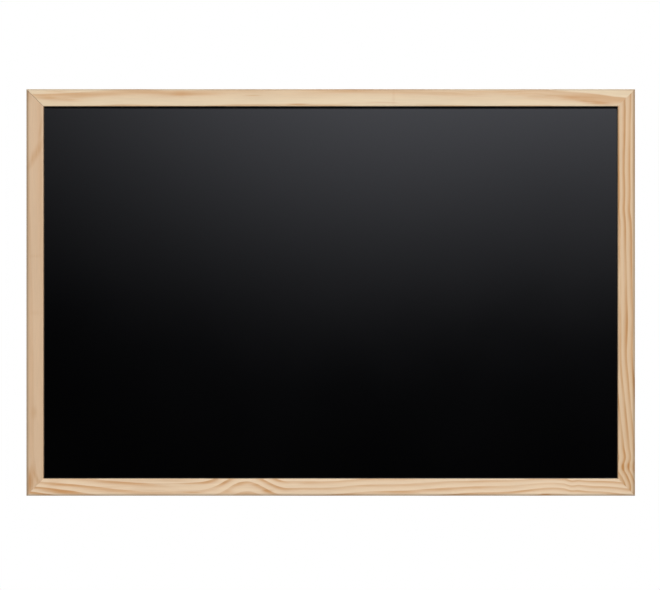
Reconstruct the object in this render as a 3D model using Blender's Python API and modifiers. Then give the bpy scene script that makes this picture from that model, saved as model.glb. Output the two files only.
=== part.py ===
"""Wall chalkboard: a mitred pine frame round a black writing panel, hung on two swinging rings.

Metres, +Z up. The writing face looks along -Y and the wall lies in the plane Y = 0.
The origin is on the wall, behind the middle of the frame. Left and right are as seen from the front.
"""

import math

import bmesh
import bpy
from mathutils import Matrix, Vector

# Frame outline, and how far its back stands off the wall
FRAME_WIDTH = 0.600
FRAME_HEIGHT = 0.401
WALL_STANDOFF = 0.0045

# Pine moulding, shared by both rails and both stiles
MOULDING_FACE = 0.017
MOULDING_DEPTH = 0.014
LIP_DEPTH = 0.004
REBATE_WIDTH = 0.006
OUTER_ROUND = 0.0025
INNER_ROUND = 0.0015
BACK_ROUND = 0.0008

# Clearance between pieces that meet, and how far a cut runs past what it cuts
FIT_GAP = 0.0003
CUT_OVERRUN = 0.002
MERGE_DISTANCE = 0.00001

# Writing panel
PANEL_THICKNESS = 0.003
PANEL_EDGE_PLAY = 0.001

# V-nails driven across the mitres from the back
V_NAIL_LEG = 0.005
V_NAIL_STEEL = 0.0006
V_NAIL_HEIGHT = 0.007

# Steel points shot into the rebate behind the panel
POINT_WIDTH = 0.006
POINT_STEEL = 0.0005
POINT_BITE = 0.006
POINT_REACH = 0.008
POINT_TIP = 0.003
POINT_CORNER = 0.001
POINTS_ON_RAIL = 3
POINTS_ON_STILE = 2

# Hanger plates: a strip of sheet with its top end rolled into an eye for the ring
HANGER_DROP = 0.050
STRIP_WIDTH = 0.0065
STRIP_STEEL = 0.0008
STRIP_TAIL = 0.0035
STRIP_CORNER = 0.0022
EYE_SWEEP = math.radians(290)

# Hanging rings, bent from wire
WIRE_RADIUS = 0.0009
RING_BEND = 0.00125
RING_REACH = 0.0095
RING_TO_SCREW = 0.0006

# Hanger screws
SCREW_RADIUS = 0.0013
SCREW_LENGTH = 0.010
SCREW_TIP = 0.003
HEAD_RADIUS = 0.0026
HEAD_HEIGHT = 0.0018
HEAD_RIM = 0.0006
CROSS_SPAN = 0.0028
CROSS_SLOT = 0.0007
CROSS_DEPTH = 0.0011

# Rubber bumpers that keep the lower edge off the wall
BUMPER_RADIUS = 0.0045
BUMPER_TIP_RADIUS = 0.0038
BUMPER_ROUND = 0.0006
BUMPER_INSET = 0.030

# Smoothness of round shapes
ROUND_STEPS = 5
EYE_STEPS = 28
CROWN_STEPS = 16
BEND_STEPS = 5
TURNED_STEPS = 32
WIRE_BEVEL = 3
SHARP_ANGLE = math.radians(35)

# Places that follow from the sizes above
BACK_Y = -WALL_STANDOFF
FRONT_Y = BACK_Y - MOULDING_DEPTH
BACK_BAND = MOULDING_FACE - REBATE_WIDTH
OPENING_WIDTH = FRAME_WIDTH - 2 * MOULDING_FACE
OPENING_HEIGHT = FRAME_HEIGHT - 2 * MOULDING_FACE
PANEL_FRONT_Y = FRONT_Y + LIP_DEPTH + FIT_GAP
PANEL_BACK_Y = PANEL_FRONT_Y + PANEL_THICKNESS
POINT_Y = PANEL_BACK_Y + FIT_GAP + POINT_STEEL / 2
EYE_BORE = WIRE_RADIUS + FIT_GAP
EYE_RADIUS = EYE_BORE + STRIP_STEEL
STRIP_Y = BACK_Y + FIT_GAP
EYE_Y = STRIP_Y + EYE_RADIUS
EYE_Z = FRAME_HEIGHT / 2 - HANGER_DROP
SCREW_BELOW_EYE = RING_REACH + WIRE_RADIUS + RING_TO_SCREW + HEAD_RADIUS
HEAD_SEAT_Y = STRIP_Y + STRIP_STEEL + FIT_GAP
HANGER_X = FRAME_WIDTH / 2 - BACK_BAND / 2

# Sides and corners in turning order: each is a quarter turn about Y on from the one before it
QUARTER = math.pi / 2
SIDES = ("left", "top", "right", "bottom")
CORNERS = ("top_left", "top_right", "bottom_right", "bottom_left")
LIE_ON_BACK = Matrix.Rotation(-QUARTER, 4, "X")

# Finishes: colour, roughness, metallic
FINISHES = {
    "pine": ((0.72, 0.50, 0.31), 0.55, 0.0),
    "writing_lacquer": ((0.012, 0.012, 0.013), 0.45, 0.0),
    "nail_steel": ((0.42, 0.42, 0.43), 0.4, 1.0),
    "point_steel": ((0.32, 0.32, 0.34), 0.45, 1.0),
    "zinc_plate": ((0.66, 0.67, 0.69), 0.32, 1.0),
    "bumper_rubber": ((0.05, 0.05, 0.055), 0.75, 0.0),
}


def clear_scene():
    for obj in list(bpy.data.objects):
        bpy.data.objects.remove(obj, do_unlink=True)


def new_collection(name):
    collection = bpy.data.collections.new(name)
    bpy.context.scene.collection.children.link(collection)
    return collection


def finish(name):
    """The material of that name, made on first use."""
    found = bpy.data.materials.get(name)
    if found:
        return found
    colour, roughness, metallic = FINISHES[name]
    made = bpy.data.materials.new(name)
    made.use_nodes = True
    shader = made.node_tree.nodes["Principled BSDF"]
    shader.inputs["Base Color"].default_value = (*colour, 1.0)
    shader.inputs["Roughness"].default_value = roughness
    shader.inputs["Metallic"].default_value = metallic
    made.diffuse_color = (*colour, 1.0)
    return made


def add_part(name, data, place, finish_name):
    obj = bpy.data.objects.new(name, data)
    obj.matrix_world = place
    obj.data.materials.append(finish(finish_name))
    board.objects.link(obj)
    return obj


def add_cutter(name, data, place):
    obj = bpy.data.objects.new(name, data)
    obj.matrix_world = place
    obj.hide_render = True
    obj.display_type = "WIRE"
    cutters.objects.link(obj)
    return obj


def cut(obj, cutter):
    modifier = obj.modifiers.new(cutter.name, "BOOLEAN")
    modifier.operation = "DIFFERENCE"
    modifier.object = cutter


def rounded_outline(corners):
    """Points of a closed outline. Each corner is x, y and the radius that rounds it, or 0 for sharp."""
    points = []
    for index, (x, y, radius) in enumerate(corners):
        corner = Vector((x, y))
        before = (Vector(corners[index - 1][:2]) - corner).normalized()
        after = (Vector(corners[(index + 1) % len(corners)][:2]) - corner).normalized()
        if radius == 0:
            points.append(corner)
            continue
        half = before.angle(after) / 2
        centre = corner + (before + after).normalized() * radius / math.sin(half)
        start = corner + before * radius / math.tan(half) - centre
        sweep = start.angle_signed(corner + after * radius / math.tan(half) - centre)
        for step in range(ROUND_STEPS + 1):
            turn = Matrix.Rotation(-sweep * step / ROUND_STEPS, 2)
            points.append(centre + turn @ start)
    return points


def flat_mesh(name, points, thickness):
    """Mesh of a closed outline in XY, as thick as given, with its middle at Z = 0."""
    curve = bpy.data.curves.new(name, "CURVE")
    curve.dimensions = "2D"
    curve.fill_mode = "BOTH"
    curve.extrude = thickness / 2
    spline = curve.splines.new("POLY")
    spline.points.add(len(points) - 1)
    for knot, point in zip(spline.points, points):
        knot.co = (point[0], point[1], 0, 1)
    spline.use_cyclic_u = True
    holder = bpy.data.objects.new(name, curve)
    bpy.context.scene.collection.objects.link(holder)
    graph = bpy.context.evaluated_depsgraph_get()
    mesh = bpy.data.meshes.new_from_object(holder.evaluated_get(graph))
    mesh.name = name
    mesh.materials.clear()
    bpy.data.objects.remove(holder, do_unlink=True)
    shape = bmesh.new()
    shape.from_mesh(mesh)
    bmesh.ops.remove_doubles(shape, verts=shape.verts, dist=MERGE_DISTANCE)
    bmesh.ops.recalc_face_normals(shape, faces=shape.faces)
    shape.to_mesh(mesh)
    shape.free()
    return mesh


def block_mesh(name, size, centre):
    shape = bmesh.new()
    place = Matrix.Translation(centre) @ Matrix.Diagonal((*size, 1))
    bmesh.ops.create_cube(shape, size=1, matrix=place)
    mesh = bpy.data.meshes.new(name)
    shape.to_mesh(mesh)
    shape.free()
    return mesh


def rod_mesh(name, radius, low, high):
    """Round rod along Z from low to high."""
    shape = bmesh.new()
    bmesh.ops.create_cone(
        shape,
        cap_ends=True,
        segments=TURNED_STEPS,
        radius1=radius,
        radius2=radius,
        depth=high - low,
        matrix=Matrix.Translation((0, 0, (high + low) / 2)),
    )
    mesh = bpy.data.meshes.new(name)
    shape.to_mesh(mesh)
    shape.free()
    return mesh


def turned_part(name, profile, place, finish_name):
    """A turned piece: the profile is radius and height, from its top down its outer side."""
    mesh = bpy.data.meshes.new(name)
    edges = [(index, index + 1) for index in range(len(profile) - 1)]
    mesh.from_pydata([(radius, 0, height) for radius, height in profile], edges, [])
    obj = add_part(name, mesh, place, finish_name)
    turning = obj.modifiers.new("turning", "SCREW")
    turning.steps = TURNED_STEPS
    turning.render_steps = TURNED_STEPS
    turning.use_merge_vertices = True
    turning.merge_threshold = MERGE_DISTANCE
    return obj


def soften(mesh):
    """Smooth shading that stays sharp at the piece's real edges."""
    mesh.shade_smooth()
    mesh.set_sharp_from_angle(angle=SHARP_ANGLE)


def turned_to(turn):
    return Matrix.Rotation(turn * QUARTER, 4, "Y")


# Frame members


def moulding_section():
    """Section of the moulding: x runs in from the outer edge and y runs back from the front face."""
    inner_round = min(INNER_ROUND, LIP_DEPTH / 2)
    return rounded_outline(
        (
            (0, 0, OUTER_ROUND),
            (MOULDING_FACE, 0, inner_round),
            (MOULDING_FACE, LIP_DEPTH, 0),
            (BACK_BAND, LIP_DEPTH, 0),
            (BACK_BAND, MOULDING_DEPTH, BACK_ROUND),
            (0, MOULDING_DEPTH, BACK_ROUND),
        )
    )


def cut_mitre(mesh, length, end):
    """Cuts one end at 45 degrees, short of the corner's diagonal by half the clearance."""
    shape = bmesh.new()
    shape.from_mesh(mesh)
    reach = length / 2 - FIT_GAP / 2 * math.sqrt(2)
    kept = bmesh.ops.bisect_plane(
        shape,
        geom=[*shape.verts, *shape.edges, *shape.faces],
        plane_co=(0, 0, end * reach),
        plane_no=(1, 0, end),
        clear_outer=True,
    )
    rim = [item for item in kept["geom_cut"] if isinstance(item, bmesh.types.BMEdge)]
    bmesh.ops.edgeloop_fill(shape, edges=rim)
    bmesh.ops.recalc_face_normals(shape, faces=shape.faces)
    shape.to_mesh(mesh)
    shape.free()


def add_member(name, side, length, across):
    """One mitred length of moulding. Across is the frame's size at right angles to it."""
    mesh = flat_mesh(name, moulding_section(), length)
    for end in (-1, 1):
        cut_mitre(mesh, length, end)
    soften(mesh)
    turn = turned_to(SIDES.index(side))
    place = Matrix.Translation((0, FRONT_Y, 0)) @ turn @ Matrix.Translation((-across / 2, 0, 0))
    return add_part(name, mesh, place, "pine")


def add_frame():
    return {
        "left": add_member("left_stile", "left", FRAME_HEIGHT, FRAME_WIDTH),
        "top": add_member("top_rail", "top", FRAME_WIDTH, FRAME_HEIGHT),
        "right": add_member("right_stile", "right", FRAME_HEIGHT, FRAME_WIDTH),
        "bottom": add_member("bottom_rail", "bottom", FRAME_WIDTH, FRAME_HEIGHT),
    }


# Writing panel


def add_panel():
    hold = REBATE_WIDTH - PANEL_EDGE_PLAY
    size = (OPENING_WIDTH + 2 * hold, PANEL_THICKNESS, OPENING_HEIGHT + 2 * hold)
    mesh = block_mesh("writing_panel", size, (0, 0, 0))
    middle = (PANEL_FRONT_Y + PANEL_BACK_Y) / 2
    add_part("writing_panel", mesh, Matrix.Translation((0, middle, 0)), "writing_lacquer")


# V-nails


def v_outline(grow):
    """Plan of a V-nail, from the outer corner: its legs cross the grain and meet near the rebate.

    Grow widens it on every side, for the pocket that it sits in.
    """
    apex = BACK_BAND / 2 + V_NAIL_LEG / 2
    outer = apex + grow
    inner = apex - V_NAIL_STEEL - grow
    toe = apex - V_NAIL_LEG - grow
    return ((toe, outer), (outer, outer), (outer, toe), (inner, toe), (inner, inner), (toe, inner))


def add_v_nails(members):
    """A V-nail across each mitre, its top just under the back of the frame."""
    top = BACK_Y - FIT_GAP
    bottom = top - V_NAIL_HEIGHT
    pocket_bottom = bottom - FIT_GAP
    pocket_top = BACK_Y + CUT_OVERRUN
    for turn, corner in enumerate(CORNERS):
        span = (FRAME_WIDTH, FRAME_HEIGHT) if turn % 2 == 0 else (FRAME_HEIGHT, FRAME_WIDTH)
        to_corner = Matrix.Translation((-span[0] / 2, 0, span[1] / 2))
        name = f"v_nail_{corner}"
        mesh = flat_mesh(name, v_outline(0), V_NAIL_HEIGHT)
        level = Matrix.Translation((0, (top + bottom) / 2, 0))
        add_part(name, mesh, level @ turned_to(turn) @ to_corner @ LIE_ON_BACK, "nail_steel")
        pocket = flat_mesh(f"{name}_pocket", v_outline(FIT_GAP), pocket_top - pocket_bottom)
        level = Matrix.Translation((0, (pocket_top + pocket_bottom) / 2, 0))
        cutter = add_cutter(
            f"{name}_pocket", pocket, level @ turned_to(turn) @ to_corner @ LIE_ON_BACK
        )
        cut(members[SIDES[turn]], cutter)
        cut(members[SIDES[(turn + 1) % len(SIDES)]], cutter)


# Retaining points


def point_outline():
    """Plan of a retaining point: x runs out of the rebate wall, with the sharp tip in the wood."""
    half = POINT_WIDTH / 2
    shoulder = POINT_TIP - POINT_BITE
    return rounded_outline(
        (
            (-POINT_BITE, 0, 0),
            (shoulder, -half, 0),
            (POINT_REACH, -half, POINT_CORNER),
            (POINT_REACH, half, POINT_CORNER),
            (shoulder, half, 0),
        )
    )


def add_points(side, member, opening, across, count):
    """Points evenly spaced along one member, each with the slot that it makes in the rebate wall."""
    turn = turned_to(SIDES.index(side))
    slot_size = (
        POINT_BITE + FIT_GAP + CUT_OVERRUN,
        POINT_WIDTH + 2 * FIT_GAP,
        POINT_STEEL + 2 * FIT_GAP,
    )
    slot_middle = CUT_OVERRUN - slot_size[0] / 2
    for index in range(count):
        along = opening * ((index + 0.5) / count - 0.5)
        wall = Matrix.Translation((BACK_BAND - across / 2, POINT_Y, along))
        place = turn @ wall @ LIE_ON_BACK
        name = f"{side}_point_{index + 1}"
        add_part(name, flat_mesh(name, point_outline(), POINT_STEEL), place, "point_steel")
        slot = block_mesh(f"{name}_slot", slot_size, (slot_middle, 0, 0))
        cut(member, add_cutter(f"{name}_slot", slot, place))


def add_all_points(members):
    for side in ("top", "bottom"):
        add_points(side, members[side], OPENING_WIDTH, FRAME_HEIGHT, POINTS_ON_RAIL)
    for side in ("left", "right"):
        add_points(side, members[side], OPENING_HEIGHT, FRAME_WIDTH, POINTS_ON_STILE)


# Ring hangers


def strip_outline():
    """Side view of the hanger strip: x runs off the frame's back, y runs up from the eye's centre."""
    tail = -(SCREW_BELOW_EYE + STRIP_TAIL)
    outer = []
    inner = []
    for step in range(EYE_STEPS + 1):
        angle = math.pi - EYE_SWEEP * step / EYE_STEPS
        ray = Vector((math.cos(angle), math.sin(angle)))
        outer.append(Vector((EYE_RADIUS, 0)) + EYE_RADIUS * ray)
        inner.append(Vector((EYE_RADIUS, 0)) + EYE_BORE * ray)
    return [Vector((0, tail)), *outer, *reversed(inner), Vector((STRIP_STEEL, tail))]


def strip_mesh(name):
    """The strip, with the corners of its tail rounded."""
    mesh = flat_mesh(name, strip_outline(), STRIP_WIDTH)
    shape = bmesh.new()
    shape.from_mesh(mesh)
    tail = min(vert.co.y for vert in shape.verts)
    corner = min(STRIP_CORNER, STRIP_WIDTH / 2)
    ends = [
        edge
        for edge in shape.edges
        if all(abs(vert.co.y - tail) < MERGE_DISTANCE for vert in edge.verts)
        and abs(edge.verts[0].co.z - edge.verts[1].co.z) < MERGE_DISTANCE
    ]
    bmesh.ops.bevel(
        shape, geom=ends, offset=corner, segments=ROUND_STEPS, profile=0.5, affect="EDGES"
    )
    shape.to_mesh(mesh)
    shape.free()
    return mesh


def ring_path():
    """Centreline of a ring hanging from its bar, which lies on X through the origin."""
    half = STRIP_WIDTH / 2 + RING_BEND
    straight = STRIP_WIDTH / 2
    points = []
    for step in range(BEND_STEPS + 1):
        angle = QUARTER * (1 - step / BEND_STEPS)
        points.append(
            (straight + RING_BEND * math.cos(angle), RING_BEND * (math.sin(angle) - 1))
        )
    crown = half - RING_REACH
    for step in range(CROWN_STEPS + 1):
        angle = -math.pi * step / CROWN_STEPS
        points.append((half * math.cos(angle), crown + half * math.sin(angle)))
    for step in range(BEND_STEPS + 1):
        angle = QUARTER * (2 - step / BEND_STEPS)
        points.append(
            (RING_BEND * math.cos(angle) - straight, RING_BEND * (math.sin(angle) - 1))
        )
    return points


def add_ring(name, place):
    curve = bpy.data.curves.new(name, "CURVE")
    curve.dimensions = "3D"
    curve.bevel_depth = WIRE_RADIUS
    curve.bevel_resolution = WIRE_BEVEL
    path = ring_path()
    spline = curve.splines.new("POLY")
    spline.points.add(len(path) - 1)
    for knot, (x, z) in zip(spline.points, path):
        knot.co = (x, 0, z, 1)
    spline.use_cyclic_u = True
    add_part(name, curve, place, "zinc_plate")


def screw_profile():
    """Pan-headed wood screw: the head's underside is at height 0 and the tip points down."""
    dome = []
    for step in range(ROUND_STEPS + 1):
        angle = QUARTER * (1 - step / ROUND_STEPS)
        rise = (HEAD_HEIGHT - HEAD_RIM) * math.sin(angle)
        dome.append((HEAD_RADIUS * math.cos(angle) if step else 0, HEAD_RIM + rise))
    return [
        *dome,
        (HEAD_RADIUS, 0),
        (SCREW_RADIUS, 0),
        (SCREW_RADIUS, SCREW_TIP - SCREW_LENGTH),
        (0, -SCREW_LENGTH),
    ]


def cross_outline():
    long = CROSS_SPAN / 2
    slot = CROSS_SLOT / 2
    quarter = ((long, -slot), (long, slot), (slot, slot))
    points = []
    for turn in range(4):
        rotation = Matrix.Rotation(turn * QUARTER, 2)
        points += [rotation @ Vector(point) for point in quarter]
    return points


def add_hanger(side, sign, stile):
    """A plate on the back of one stile, its screw, and the ring that swings in its eye."""
    eye = Vector((sign * HANGER_X, EYE_Y, EYE_Z))
    screw_z = EYE_Z - SCREW_BELOW_EYE
    strip_place = Matrix(
        ((0, 0, 1, eye.x), (1, 0, 0, STRIP_Y), (0, 1, 0, eye.z), (0, 0, 0, 1))
    )
    plate = add_part(
        f"{side}_hanger_plate", strip_mesh(f"{side}_hanger_plate"), strip_place, "zinc_plate"
    )
    screw_place = Matrix.Translation((eye.x, HEAD_SEAT_Y, screw_z)) @ LIE_ON_BACK
    screw = turned_part(f"{side}_hanger_screw", screw_profile(), screw_place, "zinc_plate")
    cross = flat_mesh(f"{side}_cross", cross_outline(), CROSS_DEPTH + CUT_OVERRUN)
    lift = Matrix.Translation((0, 0, HEAD_HEIGHT - CROSS_DEPTH + (CROSS_DEPTH + CUT_OVERRUN) / 2))
    cut(screw, add_cutter(f"{side}_cross", cross, screw_place @ lift))
    bore = rod_mesh(
        f"{side}_screw_hole", SCREW_RADIUS + FIT_GAP, -SCREW_LENGTH - FIT_GAP, HEAD_HEIGHT
    )
    hole = add_cutter(f"{side}_screw_hole", bore, screw_place)
    cut(plate, hole)
    cut(stile, hole)
    add_ring(f"{side}_hanging_ring", Matrix.Translation(eye))


# Wall bumpers


def bumper_profile():
    height = WALL_STANDOFF - FIT_GAP
    edge = min(BUMPER_ROUND, height / 2)
    points = [(0, height)]
    for step in range(ROUND_STEPS + 1):
        angle = QUARTER * (1 - step / ROUND_STEPS)
        points.append(
            (
                BUMPER_TIP_RADIUS - edge * (1 - math.cos(angle)),
                height - edge * (1 - math.sin(angle)),
            )
        )
    return [*points, (BUMPER_RADIUS, 0), (0, 0)]


def add_bumpers():
    height = BACK_BAND / 2 - FRAME_HEIGHT / 2
    for side, sign in (("left", -1), ("right", 1)):
        spot = (sign * (FRAME_WIDTH / 2 - BUMPER_INSET), BACK_Y + FIT_GAP, height)
        place = Matrix.Translation(spot) @ LIE_ON_BACK
        turned_part(f"{side}_wall_bumper", bumper_profile(), place, "bumper_rubber")


clear_scene()
board = new_collection("wall_chalkboard")
cutters = new_collection("cutters")
frame_members = add_frame()
add_panel()
add_v_nails(frame_members)
add_all_points(frame_members)
add_hanger("left", -1, frame_members["left"])
add_hanger("right", 1, frame_members["right"])
add_bumpers()
bpy.context.view_layer.update()
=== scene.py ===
"""Wall chalkboard: the finished look of a pine-framed black writing board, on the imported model's frame.

Metres, +Z up. The writing face looks along -Y and the wall lies in the plane Y = 0.
"""

import math
from collections import namedtuple
from functools import partial

import bmesh
import bpy
from bpy.props import FloatProperty, FloatVectorProperty, IntProperty, PointerProperty
from mathutils import Matrix, Vector


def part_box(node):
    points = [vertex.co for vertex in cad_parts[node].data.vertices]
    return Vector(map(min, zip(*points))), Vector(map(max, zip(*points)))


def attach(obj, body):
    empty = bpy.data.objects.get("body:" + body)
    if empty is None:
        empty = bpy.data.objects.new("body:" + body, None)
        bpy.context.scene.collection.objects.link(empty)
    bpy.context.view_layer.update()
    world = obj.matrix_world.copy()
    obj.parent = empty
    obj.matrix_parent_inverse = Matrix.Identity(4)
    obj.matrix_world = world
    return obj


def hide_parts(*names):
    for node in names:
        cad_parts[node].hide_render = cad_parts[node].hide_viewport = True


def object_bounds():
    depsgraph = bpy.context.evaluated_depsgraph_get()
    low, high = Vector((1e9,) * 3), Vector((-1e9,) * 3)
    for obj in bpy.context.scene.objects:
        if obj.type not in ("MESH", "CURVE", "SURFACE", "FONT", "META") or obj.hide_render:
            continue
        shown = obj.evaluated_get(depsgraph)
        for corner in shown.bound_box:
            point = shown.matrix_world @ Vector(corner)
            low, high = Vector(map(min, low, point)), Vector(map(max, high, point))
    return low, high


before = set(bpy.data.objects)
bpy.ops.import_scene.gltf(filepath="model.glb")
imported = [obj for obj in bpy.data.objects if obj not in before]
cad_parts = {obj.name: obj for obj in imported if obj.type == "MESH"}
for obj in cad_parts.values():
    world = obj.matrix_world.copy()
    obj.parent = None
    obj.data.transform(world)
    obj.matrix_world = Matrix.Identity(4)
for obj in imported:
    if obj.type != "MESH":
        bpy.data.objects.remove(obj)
CAD_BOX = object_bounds()

bl_info = {
    "name": "Wall Chalkboard",
    "version": (1, 0, 0),
    "blender": (4, 5, 0),
    "location": "3D View > Sidebar > Chalkboard",
    "description": "Models a pine-framed writing board with its fixings, and a small studio to see it in",
    "category": "Add Mesh",
}

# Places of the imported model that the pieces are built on
OUTER_LOW, OUTER_HIGH = CAD_BOX
STILE_LOW, STILE_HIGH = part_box("left_stile")
PANEL_LOW, PANEL_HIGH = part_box("writing_panel")
POINT_LOW, POINT_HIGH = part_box("left_point_1")
PLATE_LOW, PLATE_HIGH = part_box("right_hanger_plate")
SCREW_LOW, SCREW_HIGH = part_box("right_hanger_screw")
RING_LOW, RING_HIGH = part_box("right_hanging_ring")
BUMPER_LOW, BUMPER_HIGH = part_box("right_wall_bumper")

FRAME_WIDTH = OUTER_HIGH.x - OUTER_LOW.x
FRAME_HEIGHT = OUTER_HIGH.z - OUTER_LOW.z
FRONT_Y = STILE_LOW.y
BACK_Y = STILE_HIGH.y
MOULDING_FACE = STILE_HIGH.x - STILE_LOW.x
MOULDING_DEPTH = BACK_Y - FRONT_Y

# Sizes of the fixings that their boxes don't give
NAIL_STEEL = 0.0006
NAIL_EDGE = NAIL_STEEL * 0.4
POINT_TIP = 0.003
POINT_TIP_SHARE = (1, 0.4, 0.04)
POINT_CORNER = 0.001
EYE_STEPS = 44
EYE_SWEEP = math.radians(290)
WIRE_STEPS = 24
BEND_STEPS = 8
CROWN_STEPS = 28
SHANK_RADIUS = 0.0013
PLATE_BORE = SHANK_RADIUS * 1.2
HEAD_HEIGHT = 0.0018
HEAD_RIM = 0.0006
HEAD_UNDERSIDE = 0.0003
HEAD_CHAMFER = 0.00026
HEAD_STEPS = 8
CROSS_SLOT = 0.0007
CROSS_DEPTH = 0.0011
CROSS_TAPER = 0.55
BUMPER_TAPER = 0.845
BUMPER_ROUND = 0.0006
BUMPER_ROUND_STEPS = 6
BUMPER_STEPS = 48

# The screw's point and the bumper's foot: shares of the radius, and heights above the lower end
SCREW_POINT = ((0.08, 0), (0.55, 0.0012), (1, 0.003))
BUMPER_FOOT = ((0.97, 0), (1, 0.0002), (1, 0.0005))

# The bumper's dished tip: shares of the tip's radius, and depths below it
BUMPER_DISH = ((0.62, 0), (0.52, 0.0002), (0.40, 0.0003), (0.02, 0.0003))

# Roughness of each metal, and how fine its marks are
METALS = {"nail_steel": (0.34, 1400.0), "point_steel": (0.38, 1100.0), "zinc_plate": (0.30, 900.0)}

# The line of matt lacquer under the top lip: where it starts to fade, where it ends, and the roughness
# that it adds at both
MATT_LINE = (0.0016, 0.0029, 0.85, 0.0)

# The camera's place beside and above the middle of the board
CAMERA_ASIDE = -0.0007
CAMERA_HEIGHT = -0.0025
SENSOR_WIDTH = 36.0
CLIP_START = 0.05

# Each light's side and height, and how wide it looks, in degrees
LIGHTS = {"key_light": (9, 28, 16), "back_light": (160, 30, 40)}

# The soft glow in front of the board and the room round it. Each row gives two places on one axis of
# the direction of view, and the level at each.
GLOW_FOOT = (-0.026, 0.16, 0.0, 0.7)
GLOW_BRIM = (0.03, 0.16, 0.0, 0.3)
GLOW_TOP = (0.34, 0.60, 1.0, 0.0)
GLOW_LEFT = (-0.36, 0.09, 0.0, 1.0)
GLOW_RIGHT = (0.35, 0.75, 1.0, 0.0)
DIP_LEFT = (-0.30, 0.0, 0.04, 0.0)
DIP_RIGHT = (0.02, 0.16, 0.0, 0.014)
ROOM_BEHIND = (-0.35, 0.05, 0.0, 1.0)
ROOM_ABOVE = (-0.3, 0.8, 0.30, 1.0)

FLOOR_COLOUR = (0.62, 0.615, 0.61)
FLOOR_STEPS = 96
WHITE = (1.0, 1.0, 1.0, 1.0)

QUARTER = math.pi / 2
ONE_DEGREE = math.radians(1)
SHARP_EDGE = math.radians(40)
SMOOTH_EDGE = math.radians(35)
MILLIMETRES = 1000.0
FACE_MM = MOULDING_FACE * MILLIMETRES
OVERRUN = 0.002
HAIRLINE = 0.00002
MERGE_DISTANCE = 0.000005
ON_PLANE = 0.00005

# Sides and corners in turning order: each is a quarter turn about Y on from the one before it
SIDES = ("bottom", "left", "top", "right")
CORNERS = ("bottom_left", "top_left", "top_right", "bottom_right")


# Settings

LengthProperty = partial(FloatProperty, unit="LENGTH", precision=4)
ColourProperty = partial(FloatVectorProperty, size=3, min=0.0, max=1.0, subtype="COLOR")


class ChalkboardFrameSizes(bpy.types.PropertyGroup):
    lip_depth: LengthProperty(
        name="Lip Depth", description="Thickness of the lip in front of the panel",
        default=0.004, min=0.002, max=0.008,
    )
    rebate_width: LengthProperty(
        name="Rebate Width", description="How far the lip covers the rebate",
        default=0.006, min=0.003, max=0.010,
    )
    outer_round: LengthProperty(
        name="Outer Round", description="Radius of the front outer edge",
        default=0.0025, min=0.0002, max=0.004,
    )
    inner_round: LengthProperty(
        name="Inner Round", description="Radius of the edge beside the panel",
        default=0.0008, min=0.0002, max=0.0018,
    )
    back_round: LengthProperty(
        name="Back Round", description="Radius of the two edges at the back",
        default=0.0008, min=0.0002, max=0.002,
    )
    joint_gap: LengthProperty(
        name="Joint Gap", description="Glue line of a tight mitre",
        default=0.00006, min=0.0, max=0.0003, precision=5,
    )
    open_joint_gap: LengthProperty(
        name="Open Joint Gap", description="Glue line of the mitre at the top left",
        default=0.00024, min=0.0, max=0.0004, precision=5,
    )
    round_steps: IntProperty(
        name="Round Steps", description="Facets across each rounded edge",
        default=6, min=2, max=12,
    )


class ChalkboardPanelSizes(bpy.types.PropertyGroup):
    edge_ease: LengthProperty(
        name="Edge Ease", description="Width of the sanded edges of the panel",
        default=0.0003, min=0.0001, max=0.001, precision=5,
    )
    screen_pitch: LengthProperty(
        name="Screen Pitch", description="Spacing of the screen marks on the back of the hardboard",
        default=0.0016, min=0.0008, max=0.003,
    )


class ChalkboardFixingSizes(bpy.types.PropertyGroup):
    steel_ease: LengthProperty(
        name="Steel Ease", description="Width of the softened edges on the sheet steel",
        default=0.0001, min=0.00002, max=0.0002, precision=5,
    )
    plate_steel: LengthProperty(
        name="Plate Steel", description="Thickness of the hanger plates",
        default=0.0008, min=0.0005, max=0.001,
    )
    tail_corner: LengthProperty(
        name="Tail Corner", description="Radius of the corners at the tail of a hanger plate",
        default=0.0022, min=0.0005, max=0.003,
    )
    wire_radius: LengthProperty(
        name="Wire Radius", description="Radius of the wire of the hanging rings",
        default=0.0009, min=0.0005, max=0.001,
    )
    ring_bend: LengthProperty(
        name="Ring Bend", description="Radius of the two bends beside the eye",
        default=0.00125, min=0.001, max=0.002, precision=5,
    )
    cross_span: LengthProperty(
        name="Cross Span", description="Width of the cross recess in a screw head",
        default=0.0029, min=0.001, max=0.004,
    )


class ChalkboardColours(bpy.types.PropertyGroup):
    lacquer: ColourProperty(
        name="Lacquer", description="Black writing lacquer",
        default=(0.0005, 0.0005, 0.0006),
    )
    hardboard: ColourProperty(
        name="Hardboard", description="Bare back of the writing panel",
        default=(0.155, 0.082, 0.040),
    )
    nail_steel: ColourProperty(
        name="Nail Steel", description="Bright steel of the V-nails",
        default=(0.46, 0.46, 0.47),
    )
    point_steel: ColourProperty(
        name="Point Steel", description="Darker steel of the retaining points",
        default=(0.27, 0.27, 0.30),
    )
    zinc: ColourProperty(
        name="Zinc", description="Zinc plating of the hangers, rings and screws",
        default=(0.64, 0.65, 0.68),
    )
    rubber: ColourProperty(
        name="Rubber", description="Rubber of the wall bumpers",
        default=(0.022, 0.022, 0.024),
    )


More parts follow.
